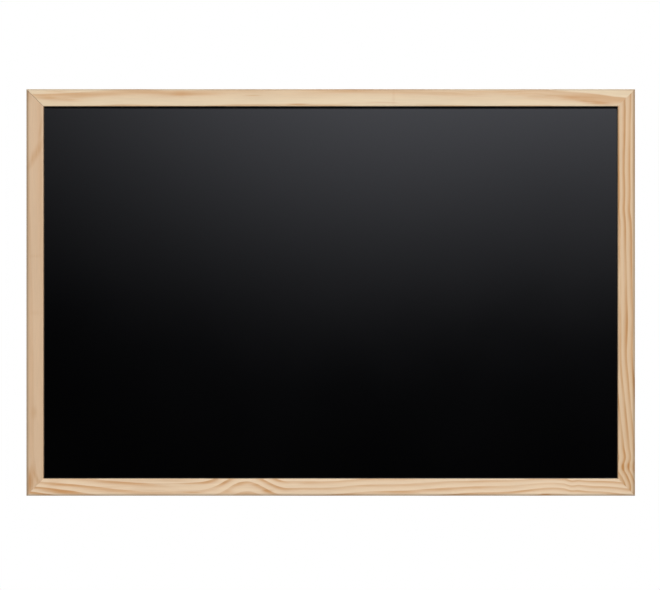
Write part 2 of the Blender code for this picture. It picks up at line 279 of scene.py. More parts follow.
class ChalkboardStudio(bpy.types.PropertyGroup):
    camera_distance: LengthProperty(
        name="Camera Distance", description="From the wall plane to the camera",
        default=1.6, min=0.5, max=5.0,
    )
    view_width: LengthProperty(
        name="View Width", description="Width that the picture takes in at the face of the frame",
        default=0.6498, min=0.2, max=3.0,
    )
    key_light: FloatProperty(
        name="Key Light", description="Strength of the broad light in front of the board",
        default=1.4, min=0.0, max=10.0,
    )
    back_light: FloatProperty(
        name="Back Light", description="Strength of the broad light behind the board",
        default=1.2, min=0.0, max=10.0,
    )
    ambient: FloatProperty(
        name="Ambient", description="Strength of the even light from all round",
        default=0.6, min=0.0, max=1.0,
    )
    glow: FloatProperty(
        name="Glow", description="Brightest part of the soft glow that the gloss of the panel mirrors",
        default=2.25, min=0.0, max=4.0,
    )
    floor_drop: LengthProperty(
        name="Floor Drop", description="How far the floor lies below the middle of the board",
        default=1.0, min=0.2, max=3.0,
    )
    floor_reach: LengthProperty(
        name="Floor Reach", description="Radius of the floor",
        default=2.2, min=0.5, max=10.0,
    )
    floor_set_back: LengthProperty(
        name="Floor Set Back", description="How far the middle of the floor lies behind the board",
        default=0.8, min=0.0, max=5.0,
    )


# Modelling helpers


def alone(obj):
    """Makes obj the only selected object, and the active one."""
    bpy.ops.object.select_all(action="DESELECT")
    bpy.context.view_layer.objects.active = obj
    obj.select_set(True)


def settle(obj):
    """Puts the object's place, turn and scale into its mesh."""
    alone(obj)
    bpy.ops.object.transform_apply(location=True, rotation=True, scale=True)


def open_edit(obj):
    """Starts to edit the object's mesh, with all of it selected."""
    alone(obj)
    bpy.ops.object.mode_set(mode="EDIT")
    bpy.ops.mesh.select_all(action="SELECT")


def close_edit():
    bpy.ops.object.mode_set(mode="OBJECT")


def pick(kind, test):
    """Selects only the faces, edges or corners of the edited mesh for which the test holds."""
    bpy.ops.mesh.select_mode(type=kind)
    bpy.ops.mesh.select_all(action="DESELECT")
    mesh = bpy.context.edit_object.data
    shape = bmesh.from_edit_mesh(mesh)
    items = {"FACE": shape.faces, "EDGE": shape.edges, "VERT": shape.verts}[kind]
    found = [item for item in items if test(item)]
    for item in found:
        item.select_set(True)
    bmesh.update_edit_mesh(mesh)
    if not found:
        raise RuntimeError(f"nothing to shape on {bpy.context.edit_object.name}")


def halfway(low, high):
    return (low + high) / 2


def middle(item):
    return sum((vert.co for vert in item.verts), Vector()) / len(item.verts)


def all_at(item, axis, value):
    """Whether every corner of the item lies at that value of one axis."""
    return all(abs(vert.co[axis] - value) < ON_PLANE for vert in item.verts)


def runs_back_at(edge, axis, value):
    """Whether the edge runs straight back, at that value of one axis."""
    start, end = edge.verts
    return all_at(edge, axis, value) and (start.co - end.co).xz.length < ON_PLANE


def new_piece(name):
    """Names the primitive that was just added, and puts its place into its mesh."""
    piece = bpy.context.active_object
    piece.name = piece.data.name = name
    settle(piece)
    return piece


def block(name, low, high):
    """A block between two corners."""
    low, high = Vector(low), Vector(high)
    bpy.ops.mesh.primitive_cube_add(size=1, location=halfway(low, high), scale=high - low)
    return new_piece(name)


def disc(name, radius, steps, centre, rotation=(0, 0, 0), filled="NGON"):
    bpy.ops.mesh.primitive_circle_add(
        vertices=steps, radius=radius, fill_type=filled, location=centre, rotation=rotation
    )
    return new_piece(name)


def extrude(offset):
    bpy.ops.mesh.extrude_region_move(TRANSFORM_OT_translate={"value": offset})


def round_off(width, steps):
    """Rounds the selected edges, or cuts them off where there is one step."""
    bpy.ops.mesh.bevel(offset=width, segments=steps, affect="EDGES")


def drop_seams():
    """Joins the faces that lie in one plane."""
    bpy.ops.mesh.select_all(action="SELECT")
    bpy.ops.mesh.dissolve_limited(angle_limit=ONE_DEGREE)


def mend_normals():
    bpy.ops.mesh.select_all(action="SELECT")
    bpy.ops.mesh.remove_doubles(threshold=MERGE_DISTANCE)
    bpy.ops.mesh.normals_make_consistent(inside=False)


def apply_modifier(piece, kind, **values):
    alone(piece)
    modifier = piece.modifiers.new(kind.lower(), kind)
    for key, value in values.items():
        setattr(modifier, key, value)
    bpy.ops.object.modifier_apply(modifier=modifier.name)


def ease(piece, width, steps=2):
    """Softens every sharp edge of the piece."""
    apply_modifier(
        piece, "BEVEL", width=width, segments=steps, limit_method="ANGLE", angle_limit=SHARP_EDGE,
        harden_normals=False, use_clamp_overlap=True,
    )


def smooth(piece):
    """Smooth shading that stays flat on the wide faces and sharp at the real edges."""
    alone(piece)
    bpy.ops.object.shade_smooth_by_angle(angle=SMOOTH_EDGE)
    apply_modifier(piece, "WEIGHTED_NORMAL", keep_sharp=True, weight=90)


def copy_of(piece, name):
    alone(piece)
    bpy.ops.object.duplicate(linked=False)
    made = bpy.context.active_object
    made.name = made.data.name = name
    return made


def turn_round(piece, angle, centre=(0, 0, 0)):
    """Turns the piece's mesh about an axis along Y through centre."""
    spin = Matrix.Translation(centre) @ Matrix.Rotation(angle, 4, "Y")
    piece.matrix_world = spin @ Matrix.Translation(-Vector(centre)) @ piece.matrix_world
    settle(piece)


def shift(piece, offset):
    piece.location = offset
    settle(piece)


def turned_copies(first, home, places, order):
    """Copies the piece from its home node to the other nodes, turned to suit their places in the order."""
    was = halfway(*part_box(home))
    pieces = {home: first}
    for node, place in places.items():
        if node != home:
            quarters = (order.index(place) - order.index(places[home])) % len(order)
            pieces[node] = copy_of(first, f"steel_{node}")
            turn_round(pieces[node], quarters * QUARTER, was)
            shift(pieces[node], halfway(*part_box(node)) - was)
    return pieces


def cut_away(piece, cutters):
    """Cuts each cutter out of the piece, then removes the cutters."""
    for cutter in cutters:
        apply_modifier(piece, "BOOLEAN", operation="DIFFERENCE", solver="EXACT", object=cutter)
    for cutter in cutters:
        bpy.data.objects.remove(cutter, do_unlink=True)


def dress(piece, body, node, slot, *materials):
    """Gives the finished piece its materials, and puts it in its CAD node's place."""
    piece.data.materials.clear()
    for material in materials:
        piece.data.materials.append(material)
    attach(piece, body)
    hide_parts(node)


# Material helpers


class Nodes:
    """A node tree under construction, with short calls for what goes into it."""

    def __init__(self, tree):
        self.tree = tree

    def feed(self, socket, value):
        """Links another node's output to the socket, or sets the socket to a plain value."""
        if isinstance(value, bpy.types.NodeSocket):
            self.tree.links.new(value, socket)
        else:
            socket.default_value = value

    def node(self, kind, inputs=None, **values):
        made = self.tree.nodes.new(kind)
        for key, value in values.items():
            setattr(made, key, value)
        for socket, value in (inputs or {}).items():
            self.feed(made.inputs[socket], value)
        return made

    def maths(self, operation, *terms, clamp=False):
        inputs = dict(enumerate(terms))
        return self.node("ShaderNodeMath", inputs, operation=operation, use_clamp=clamp).outputs[0]

    def linear(self, value, factor, offset):
        """A value times a factor, plus an offset."""
        return self.maths("MULTIPLY_ADD", value, factor, offset)

    def product(self, first, second):
        return self.maths("MULTIPLY", first, second)

    def total(self, *parts):
        """Sum of several values."""
        result = parts[0]
        for part in parts[1:]:
            result = self.maths("ADD", result, part)
        return result

    def spread(self, value, low, high, to_low=0.0, to_high=1.0, kind="SMOOTHSTEP"):
        """Maps a value from one range to another, held at the ends."""
        made = self.node(
            "ShaderNodeMapRange",
            {"Value": value, "From Min": low, "From Max": high, "To Min": to_low, "To Max": to_high},
            interpolation_type=kind,
        )
        return made.outputs["Result"]

    def seen_straight(self, ray):
        """1 for rays from the eye, straight or through glass, and 0 for others."""
        return self.maths("MAXIMUM", ray["Is Camera Ray"], ray["Is Transmission Ray"])


class Finish(Nodes):
    """A material under construction."""

    def __init__(self, name):
        self.material = bpy.data.materials.new(name)
        self.material.use_nodes = True
        super().__init__(self.material.node_tree)
        self.shader = self.tree.nodes["Principled BSDF"]
        self.place = self.node("ShaderNodeTexCoord").outputs["Object"]

    def axes(self):
        """The object's coordinates, one by one."""
        return self.node("ShaderNodeSeparateXYZ", {0: self.place}).outputs

    def scaled(self, factors, place=None):
        """The object's coordinates, stretched by a factor for each axis."""
        made = self.node("ShaderNodeMapping", {"Vector": place or self.place, "Scale": factors})
        return made.outputs["Vector"]

    def noise(self, place, scale=1.0, detail=2.0, roughness=0.5):
        inputs = {"Vector": place, "Scale": scale, "Detail": detail, "Roughness": roughness}
        return self.node("ShaderNodeTexNoise", inputs).outputs["Fac"]

    def ramp(self, value, stops):
        made = self.node("ShaderNodeValToRGB", {"Fac": value})
        knots = made.color_ramp.elements
        while len(knots) < len(stops):
            knots.new(0.5)
        for knot, (position, level) in zip(knots, stops):
            knot.position = position
            knot.color = (level, level, level, 1.0)
        return made.outputs["Color"]

    def blend(self, share, first, second):
        """Two colours mixed: the second in full where the share is 1."""
        made = self.node("ShaderNodeMix", data_type="RGBA")
        for index, value in ((0, share), (6, (*first, 1.0)), (7, (*second, 1.0))):
            self.feed(made.inputs[index], value)
        return made.outputs[2]

    def tinted(self, colour, share):
        """A colour made lighter or darker by a factor."""
        made = self.node("ShaderNodeVectorMath", {0: colour, "Scale": share}, operation="SCALE")
        return made.outputs[0]

    def bump(self, height, depth):
        """Relief of a height from 0 to 1, as deep as given in metres."""
        made = self.node("ShaderNodeBump", {"Height": height, "Distance": depth})
        self.feed(self.shader.inputs["Normal"], made.outputs["Normal"])

    def set(self, **inputs):
        """Links or sets the shader's own inputs."""
        for key, value in inputs.items():
            self.feed(self.shader.inputs[key.replace("_", " ")], value)
        return self.material


# Pine

# A soft-edged patch of a length of moulding, in millimetres along it and in from its outer edge. Its
# amount is full at its middle and gone at its reach along and its breadth across. Turn is in degrees.
Patch = namedtuple("Patch", "along across reach breadth amount turn", defaults=(0,))

# The pith lies across and behind the outer front edge, one dark line crosses the middle of the length
# at line, taper slants the rings along it, and the painted edge shade ends at edge. Swells are patches
# that push the growth rings aside by their amount. Stains are patches that darken the wood, or lighten
# its dark lines where the amount is below 0. Each row holds a patch's values.
Pine = namedtuple(
    "Pine", "pith_across pith_behind ring line taper seed pale late vivid edge swells stains"
)

PINES = {
    "top": Pine(
        pith_across=62.0, pith_behind=46.0, ring=11.0, line=2.6, taper=0.0, seed=3.7,
        pale=(0.795, 0.628, 0.425), late=(0.620, 0.345, 0.155), vivid=0.80, edge=2.6,
        swells=[
            (-300, 6, 112, 60, 3.6), (-150, 6, 60, 60, 0.9), (40, 6, 60, 60, -1.1), (150, 6, 60, 60, 1.1),
            (335, 6, 130, 80, 8.6),
        ],
        stains=[
            (-280, 9, 18, 3.4, 0.35, 6), (-258, 10.5, 30, 4, 0.26), (-268, 2.6, 20, 2, 0.28),
            (-160, 8, 30, 2.5, 0.15), (58, 15, 95, 3.4, -0.5), (165, 2.4, 90, 2.4, 0.26),
            (-146, 5, 16, 5, 0.3), (-77, 6.6, 13, 1.1, 0.4), (-32, 15.2, 17, 1.2, 0.7),
            (62, 10, 2.5, 12, 0.16), (130, 5, 46, 5, 0.22), (196, 7, 60, 6, 0.3, 8),
            (252, 10.5, 50, 5, 0.3, 11), (238, 10.2, 58, 4.2, 0.36, 8), (266, 13.4, 28, 3.6, 0.32),
            (-265, 8, 42, 16, 0.12),
        ],
    ),
    "bottom": Pine(
        pith_across=-45.0, pith_behind=40.0, ring=5.4, line=7.0, taper=0.0, seed=8.1,
        pale=(0.835, 0.636, 0.434), late=(0.590, 0.300, 0.115), vivid=0.84, edge=3.3,
        swells=[
            (-302, 8, 92, 70, -5), (-310, -8, 66, 34, -5), (-190, 32, 120, 46, -4), (-176, 8, 84, 60, 4.3),
            (-87, 18, 45, 46, -6.4), (-79, 18, 38, 46, -4.8), (36, 8, 46, 60, -1.5), (232, 8, 240, 80, -11),
            (240, 32, 150, 46, 7), (218, 8, 46, 34, -3.6), (237, 12, 8, 14, 1.6), (306, 8, 44, 60, 3),
        ],
        stains=[
            (-270, 4, 24, 2.6, 0.6, -5), (-62, 5, 9, 3.2, 0.45), (-100, 4, 9, 3.2, 0.28),
            (-136, 3.4, 18, 1.2, 0.35), (211, 1.8, 9, 1.6, 0.6), (-190, 5.2, 110, 3, 0.24),
            (-200, 15, 75, 2.6, 0.22), (-155, 11.4, 54, 2.4, -0.34), (-150, 15.2, 30, 2.2, 0.22),
            (-272, 12, 14, 8, 0.26), (-215, 8.6, 20, 2.2, 0.22), (-85, 2.8, 52, 2.4, 0.22),
            (38, 2.6, 48, 2.6, -0.32), (262, 2.6, 34, 2.6, -0.32), (-80, 12, 10, 3, -0.25),
            (-38, 13, 20, 4, -0.28), (-25, 6, 42, 2.6, -0.26), (85, 5.5, 34, 2.2, -0.28),
            (122, 8.5, 28, 2.2, -0.35), (170, 2.6, 110, 3, -0.3),
        ],
    ),
    "left": Pine(
        pith_across=-60.0, pith_behind=60.0, ring=9.0, line=16.0, taper=0.010, seed=5.3,
        pale=(0.686, 0.480, 0.306), late=(0.540, 0.285, 0.120), vivid=0.27, edge=3.8,
        swells=[
            (-186, 2, 30, 14, -9),
        ],
        stains=[
            (195, 3.4, 12, 3, 0.35), (136, 9.2, 25, 5.2, 0.55, 26), (160, 14, 20, 2, 0.3, 8),
            (36, 9, 3, 9, 0.14), (-20, 9, 4, 9, 0.12), (-118, 8, 10, 5, 0.28), (-184, 5, 22, 5, 0.95, 6),
            (-186, 12, 16, 3, 0.45, -24),
        ],
    ),
    "right": Pine(
        pith_across=60.0, pith_behind=40.0, ring=4.3, line=9.1, taper=0.0, seed=1.9,
        pale=(0.728, 0.520, 0.324), late=(0.525, 0.240, 0.065), vivid=0.97, edge=3.7,
        swells=[
            (155, 8, 150, 60, 1.5), (82, 8, 14, 30, 0.5), (-28, 4, 34, 14, -1.1), (-200, 8, 152, 60, -8.3),
            (-161, 8, 9, 30, -0.7), (-172, 8, 9, 30, 1.4), (-192, 8, 18, 40, -4.2),
        ],
        stains=[
            (-171, 6.4, 5, 2.2, 0.5), (-172, 12.2, 5, 2.4, 0.7), (-30, 8, 30, 1.4, 0.3),
            # The paler patch at 14.8 mm in, along most of the length, clears the dark growth lines as a
            # painted highlight beside the rounded inner edge
            (20, 14.8, 210, 3, -0.38), (0, 14.4, 34, 2, 0.14), (95, 5.6, 58, 2.4, -0.25),
        ],
    ),
}


# Darkness of the wood through one growth ring, which ends in a sharp dark line
LINE_STOPS = ((0.0, 0.0), (0.26, 0.06), (0.50, 0.36), (0.72, 0.95), (0.92, 1.0), (1.0, 0.0))

# Growth rings from the pith to the dark line that crosses the middle
RINGS_TO_LINE = 20.83

# Noise in the wood: how fine it is along and across the grain, per millimetre, its detail and roughness
GRAIN = {
    "drift": (0.006, 0.03, 1.0, 0.5),
    "ripple": (0.03, 0.12, 2.0, 0.5),
    "vigour": (0.008, 0.10, 2.0, 0.5),
    "breaks": (0.05, 0.8, 3.0, 0.5),
    "fibre": (0.035, 1.5, 6.0, 0.70),
    "cloud": (0.010, 0.07, 2.0, 0.5),
    "pores": (0.16, 3.4, 2.0, 0.5),
}

# How far a patch reaches into the wood, in millimetres
PATCH_DEPTH = 60.0

# Painted edge shade, darker where the rounded outer edge and the outer side turn away from the light:
# how far it fades out across the face, then between which depths it gets paler on the side, both in
# millimetres, and its tone at these
EDGE_SHADE_FADE = 2.4
EDGE_SHADE_DEPTHS = (1.0, 9.0)
EDGE_SHADE_TONES = (0.69, 0.84)

# Painted highlight: the rounded inner edge gets paler between these distances before the end of the face,
# in millimetres
HIGHLIGHT_START = 1.6
HIGHLIGHT_END = 0.7
HIGHLIGHT_LIFT = 0.06

PINE_RELIEF = 0.00003


def pine_finish(side):
    """Clear-finished pine, with the growth rings of one length of moulding."""
    pine = PINES[side]
    made = Finish(f"pine_{side}")
    axes = made.axes()
    upright = side in ("left", "right")
    along = made.product(axes["Z" if upright else "X"], MILLIMETRES)
    towards = -1.0 if side in ("top", "right") else 1.0
    half = (FRAME_WIDTH if upright else FRAME_HEIGHT) / 2
    across = made.linear(axes["X" if upright else "Z"], towards * MILLIMETRES, half * MILLIMETRES)
    behind = made.linear(axes["Y"], MILLIMETRES, -FRONT_Y * MILLIMETRES)
    wood = made.node("ShaderNodeCombineXYZ", {0: along, 1: across, 2: behind}).outputs[0]
    shifted = made.node(
        "ShaderNodeMapping", {"Vector": wood, "Location": (pine.seed * 40, pine.seed * 9, 0)}
    ).outputs[0]

    def amount(row):
        """The patch's amount, in full at its middle."""
        patch = Patch(*row)
        spot = made.node(
            "ShaderNodeMapping",
            {
                "Vector": wood, "Location": (patch.along, patch.across, 0.0),
                "Scale": (patch.reach, patch.breadth, PATCH_DEPTH),
                "Rotation": (0, 0, math.radians(patch.turn)),
            },
            vector_type="TEXTURE",
        ).outputs[0]
        ball = made.node("ShaderNodeTexGradient", {0: spot}, gradient_type="SPHERICAL")
        return made.product(made.spread(ball.outputs["Fac"], 0.0, 1.0), patch.amount)

    def grain(kind):
        fine_along, fine_across, detail, roughness = GRAIN[kind]
        place = made.scaled((fine_along, fine_across, fine_across), shifted)
        return made.noise(place, detail=detail, roughness=roughness)

    out = made.maths("POWER", made.maths("ADD", across, -pine.pith_across), 2.0)
    back = made.maths("POWER", made.maths("ADD", behind, -pine.pith_behind), 2.0)
    line_radius = math.hypot(pine.line - pine.pith_across, pine.pith_behind)
    radius = made.total(
        made.maths("SQRT", made.maths("ADD", out, back)),
        made.linear(along, pine.taper, RINGS_TO_LINE * pine.ring - line_radius),
        made.linear(grain("drift"), 3.0, -1.5),
        made.linear(grain("ripple"), 1.2, -0.6),
        *map(amount, pine.swells),
    )
    ring = made.maths("FRACT", made.maths("DIVIDE", radius, pine.ring))
    line = made.ramp(ring, LINE_STOPS)
    strength = made.spread(grain("vigour"), 0.30, 0.70, pine.vivid * 0.35, pine.vivid * 1.1)
    latewood = made.product(line, strength)
    stain = made.total(*map(amount, pine.stains))
    broken = made.spread(grain("breaks"), 0.3, 0.7, 0.6, 1.3)
    share = made.maths("ADD", latewood, made.product(stain, broken), clamp=True)
    colour = made.blend(share, pine.pale, pine.late)

    fibre = grain("fibre")
    pores = made.spread(grain("pores"), 0.66, 0.80)
    # Painted edge shade: darker along the outer edge of the face and on the outer side of the moulding
    edge_shade_tone = made.spread(behind, *EDGE_SHADE_DEPTHS, *EDGE_SHADE_TONES)
    past_edge_shade = made.spread(across, pine.edge - EDGE_SHADE_FADE, pine.edge)
    rim = made.linear(past_edge_shade, made.maths("SUBTRACT", 1.0, edge_shade_tone), edge_shade_tone)
    tone = made.total(
        made.product(fibre, 0.30),
        made.linear(grain("cloud"), 0.14, 0.78),
        made.product(pores, -0.10),
        # Painted highlight along the rounded inner edge
        made.spread(across, FACE_MM - HIGHLIGHT_START, FACE_MM - HIGHLIGHT_END, 0.0, HIGHLIGHT_LIFT),
    )
    relief = made.total(made.product(fibre, 0.7), made.product(line, 0.2), made.product(pores, -0.4))
    made.bump(relief, PINE_RELIEF)
    return made.set(
        Base_Color=made.tinted(colour, made.product(tone, rim)),
        Roughness=made.spread(fibre, 0.25, 0.75, 0.36, 0.52, "LINEAR"),
    )


# Other finishes


def lacquer_finish(colour):
    """Black writing lacquer: a fine orange peel under a satin sheen, matt in a line under the top lip."""
    made = Finish("writing_lacquer")
    peel = made.noise(made.place, scale=900.0, detail=3.0, roughness=0.6)
    drift = made.noise(made.place, scale=6.0, detail=3.0)
    tooth = made.noise(made.place, scale=5200.0, detail=2.0)
    made.bump(made.linear(tooth, 0.4, peel), 0.000004)
    shade = made.spread(peel, 0.3, 0.7, 0.85, 1.15, "LINEAR")
    below_lip = made.maths("SUBTRACT", FRAME_HEIGHT / 2 - MOULDING_FACE, made.axes()["Z"])
    matt = made.spread(below_lip, *MATT_LINE)
    gloss = made.spread(drift, 0.3, 0.7, 0.120, 0.145, "LINEAR")
    return made.set(
        Base_Color=made.tinted(colour, shade),
        Roughness=made.maths("ADD", gloss, matt),
        Specular_Tint=(0.88, 0.90, 1.0, 1.0),
    )


def hardboard_finish(colour, pitch):
    """Pressed fibre with the marks of the screen that it was pressed on."""
    made = Finish("bare_hardboard")
    axes = made.axes()
    waves = [made.maths("SINE", made.product(axes[axis], 2 * math.pi / pitch)) for axis in "XZ"]
    screen = made.linear(made.product(*waves), 0.5, 0.5)
    fibre = made.noise(made.scaled((1.0, 1.0, 2.2)), scale=1300.0, detail=4.0, roughness=0.65)
    cloud = made.noise(made.place, scale=14.0, detail=4.0)
    tone = made.total(
        made.product(fibre, 0.75),
        made.product(screen, 0.18),
        made.linear(cloud, 0.45, 0.30),
    )
    made.bump(made.linear(fibre, 0.5, screen), 0.00012)
    return made.set(
        Base_Color=made.tinted(colour, tone),
        Roughness=made.spread(fibre, 0.3, 0.7, 0.62, 0.85, "LINEAR"),
    )


def steel_finish(name, colour):
    """Metal with faint rolling marks, duller where it has been handled."""
    made = Finish(name)
    gloss, grain = METALS[name]
    streak = made.noise(made.scaled((1.0, 1.0, 0.15)), scale=grain, detail=3.0)
    cloud = made.noise(made.place, scale=grain / 6, detail=3.0, roughness=0.6)
    tone = made.linear(cloud, 0.36, 0.82)
    made.bump(streak, 0.000006)
    return made.set(
        Metallic=1.0,
        Base_Color=made.tinted(colour, tone),
        Roughness=made.spread(cloud, 0.3, 0.7, gloss - 0.06, gloss + 0.10, "LINEAR"),
    )


def rubber_finish(colour):
    """Dull black rubber, bloomed grey in places."""
    made = Finish("bumper_rubber")
    grit = made.noise(made.place, scale=2600.0, detail=3.0)
    bloom = made.noise(made.place, scale=260.0, detail=3.0)
    made.bump(grit, 0.00002)
    return made.set(
        Base_Color=made.tinted(colour, made.spread(bloom, 0.3, 0.7, 0.8, 1.5, "LINEAR")),
        Roughness=made.spread(grit, 0.3, 0.7, 0.60, 0.78, "LINEAR"),
    )


# Pieces


def moulding_bar(name, length, sizes):
    """A square-ended bar of moulding: its outer side is at Z = 0 and its face at Y = 0."""
    band = MOULDING_FACE - sizes.rebate_width
    bar = block(name, (-length / 2, 0, 0), (length / 2, MOULDING_DEPTH, band))
    open_edit(bar)
    bpy.ops.mesh.bisect(plane_co=(0, sizes.lip_depth, 0), plane_no=(0, 1, 0))
    pick("FACE", lambda face: all_at(face, 2, band) and middle(face).y < sizes.lip_depth)
    extrude((0, 0, sizes.rebate_width))
    drop_seams()

    def round_edge(depth, height, radius, steps):
        pick("EDGE", lambda edge: all_at(edge, 1, depth) and all_at(edge, 2, height))
        round_off(radius, steps)

    steps = sizes.round_steps
    round_edge(0, 0, sizes.outer_round, steps)
    round_edge(0, MOULDING_FACE, sizes.inner_round, steps)
    round_edge(MOULDING_DEPTH, 0, sizes.back_round, steps // 2)
    round_edge(MOULDING_DEPTH, band, sizes.back_round, steps // 2)
    close_edit()
    return bar


def cut_mitre(bar, length, end, gap):
    """Cuts one end of the bar at 45 degrees, half the gap short of the corner's diagonal."""
    open_edit(bar)
    bpy.ops.mesh.bisect(
        plane_co=(end * (length / 2 - gap / 2 * math.sqrt(2)), 0, 0),
        plane_no=(end, 0, 1),
        use_fill=True,
        clear_outer=True,
    )
    close_edit()


def grown(low, high, margin):
    """The corners of a box, moved out by the margin on every side."""
    step = Vector((margin, margin, margin))
    return low - step, high + step


def member_cutters(side):
    """Slots, pockets and screw hole of one member."""
    cutters = []
    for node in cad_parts:
        if node.startswith(f"{side}_point"):
            cutters.append(block("slot", *grown(*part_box(node), HAIRLINE)))
    turn = SIDES.index(side)
    for corner in (CORNERS[turn], CORNERS[turn - 1]):
        for low, high in nail_legs(corner):
            low, high = grown(low, high, HAIRLINE)
            high.y = BACK_Y + OVERRUN
            cutters.append(block("pocket", low, high))
    if side in ("left", "right"):
        low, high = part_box(f"{side}_hanger_screw")
        cutters.append(bore(low, high, low.y - HAIRLINE, SHANK_RADIUS + HAIRLINE))
    return cutters


def frame_member(side, sizes):
    """One mitred length of moulding, in its place."""
    turn = SIDES.index(side)
    level = turn % 2 == 0
    length, across = (FRAME_WIDTH, FRAME_HEIGHT) if level else (FRAME_HEIGHT, FRAME_WIDTH)
    node = f"{side}_rail" if level else f"{side}_stile"
    bar = moulding_bar(f"pine_{node}", length, sizes)
    for end, corner in ((-1, CORNERS[turn]), (1, CORNERS[turn - 1])):
        gap = sizes.open_joint_gap if corner == "top_left" else sizes.joint_gap
        cut_mitre(bar, length, end, gap)
    shift(bar, (0, FRONT_Y, -across / 2))
    turn_round(bar, turn * QUARTER)
    cut_away(bar, member_cutters(side))
    smooth(bar)
    dress(bar, "board", node, "pine", pine_finish(side))


def turned(name, centre, foot, profile, steps=40):
    """A turned solid on an axis along Y. The profile gives radii, and heights above the foot."""
    radius, height = profile[0]
    piece = disc(name, radius, steps, (centre.x, foot + height, centre.z), (QUARTER, 0, 0))
    open_edit(piece)
    for (before, low), (after, high) in zip(profile, profile[1:]):
        extrude((0, high - low, 0))
        if after != before:
            share = after / before
            bpy.ops.transform.resize(value=(share, 1, share))
    mend_normals()
    close_edit()
    return piece


def bore(low, high, foot, radius):
    """A round cutter through the middle of a box, as long as the box is deep."""
    return turned("hole", halfway(low, high), foot, [(radius, 0), (radius, high.y - low.y)])


def dome(radius, rise, foot, steps, top=0.02):
    """Profile of a low dome from its rim to a small flat at its top."""
    angles = [QUARTER * step / steps for step in range(1, steps + 1)]
    return [(radius * max(math.cos(angle), top), foot + rise * math.sin(angle)) for angle in angles]


def nail_legs(corner):
    """The boxes of the level and the upright leg of the V-nail in that corner."""
    legs = []
    for axis, at_low in ((2, corner.startswith("top")), (0, corner.endswith("right"))):
        low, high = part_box(f"v_nail_{corner}")
        if at_low:
            high[axis] = low[axis] + NAIL_STEEL
        else:
            low[axis] = high[axis] - NAIL_STEEL
        legs.append((low, high))
    return legs


def v_nail(name):
    """The V-nail of the top left corner: two legs at a right angle, ground to an edge in the wood."""
    (across_low, across_high), (up_low, up_high) = nail_legs("top_left")
    nail = block(name, up_low, up_high)
    open_edit(nail)
    bpy.ops.mesh.bisect(plane_co=across_high, plane_no=(0, 0, 1))
    pick("FACE", lambda face: all_at(face, 0, up_low.x) and middle(face).z < across_high.z)
    extrude((across_low.x - up_low.x, 0, 0))
    drop_seams()
    pick("EDGE", lambda edge: all_at(edge, 1, up_low.y))
    round_off(NAIL_EDGE, 1)
    close_edit()
    return nail


def retaining_point(name, sizes):
    """The first point of the left stile: a flat steel dart, its tip in the wood."""
    shoulder = POINT_LOW.x + POINT_TIP
    dart = block(name, (shoulder, POINT_LOW.y, POINT_LOW.z), POINT_HIGH)
    open_edit(dart)
    pick("FACE", lambda face: all_at(face, 0, shoulder))
    extrude((-POINT_TIP, 0, 0))
    bpy.ops.transform.resize(value=POINT_TIP_SHARE)
    pick("EDGE", lambda edge: runs_back_at(edge, 0, POINT_HIGH.x))
    round_off(POINT_CORNER, 5)
    close_edit()
    ease(dart, sizes.steel_ease * 0.8)
    return dart


def hanger_plate(name, sizes):
    """The right-hand plate: a strip whose top end is rolled into an eye for the ring."""
    eye_radius = (PLATE_HIGH.y - PLATE_LOW.y) / 2
    eye = halfway(PLATE_LOW, PLATE_HIGH)
    eye.z = PLATE_HIGH.z - eye_radius
    plate = block(name, PLATE_LOW, (PLATE_HIGH.x, PLATE_LOW.y + sizes.plate_steel, eye.z))
    open_edit(plate)
    pick("EDGE", lambda edge: runs_back_at(edge, 2, PLATE_LOW.z))
    round_off(sizes.tail_corner, 8)
    pick("FACE", lambda face: all_at(face, 2, eye.z))
    bpy.ops.mesh.spin(steps=EYE_STEPS, angle=EYE_SWEEP, center=eye, axis=(1, 0, 0))
    mend_normals()
    close_edit()
    cut_away(plate, [bore(SCREW_LOW, SCREW_HIGH, SCREW_LOW.y, PLATE_BORE)])
    ease(plate, sizes.steel_ease)
    return plate


def cross_cutter(centre, top, sizes):
    """A cross-shaped driver recess that narrows towards its bottom."""
    slot = CROSS_SLOT / 2
    arm_length = sizes.cross_span / 2 - slot
    foot = top - CROSS_DEPTH
    low = (centre.x - slot, foot, centre.z - slot)
    cross = block("cross", low, (centre.x + slot, top + OVERRUN, centre.z + slot))
    open_edit(cross)
    for axis, other in ((0, 2), (2, 0)):
        for sign in (-1, 1):

            def arm_root(face):
                at_side = all_at(face, axis, centre[axis] + sign * slot)
                return at_side and abs(middle(face)[other] - centre[other]) < slot

            pick("FACE", arm_root)
            arm = [0, 0, 0]
            arm[axis] = sign * arm_length
            extrude(arm)
    pick("VERT", lambda vert: abs(vert.co.y - foot) < ON_PLANE)
    bpy.ops.transform.resize(value=(CROSS_TAPER, 1, CROSS_TAPER))
    close_edit()
    return cross


def hanger_screw(name, sizes):
    """The right-hand screw: a pan head with a cross recess, on a pointed shank."""
    centre = halfway(SCREW_LOW, SCREW_HIGH)
    radius = (SCREW_HIGH.x - SCREW_LOW.x) / 2
    seat = SCREW_HIGH.y - HEAD_HEIGHT - SCREW_LOW.y
    profile = [
        *[(SHANK_RADIUS * share, height) for share, height in SCREW_POINT],
        (SHANK_RADIUS, seat - HEAD_UNDERSIDE),
        (radius * 0.98, seat - HEAD_CHAMFER),
        (radius, seat),
        (radius, seat + HEAD_RIM),
        *dome(radius, HEAD_HEIGHT - HEAD_RIM, seat + HEAD_RIM, HEAD_STEPS),
    ]
    screw = turned(name, centre, SCREW_LOW.y, profile)
    cut_away(screw, [cross_cutter(centre, SCREW_HIGH.y, sizes)])
    return screw


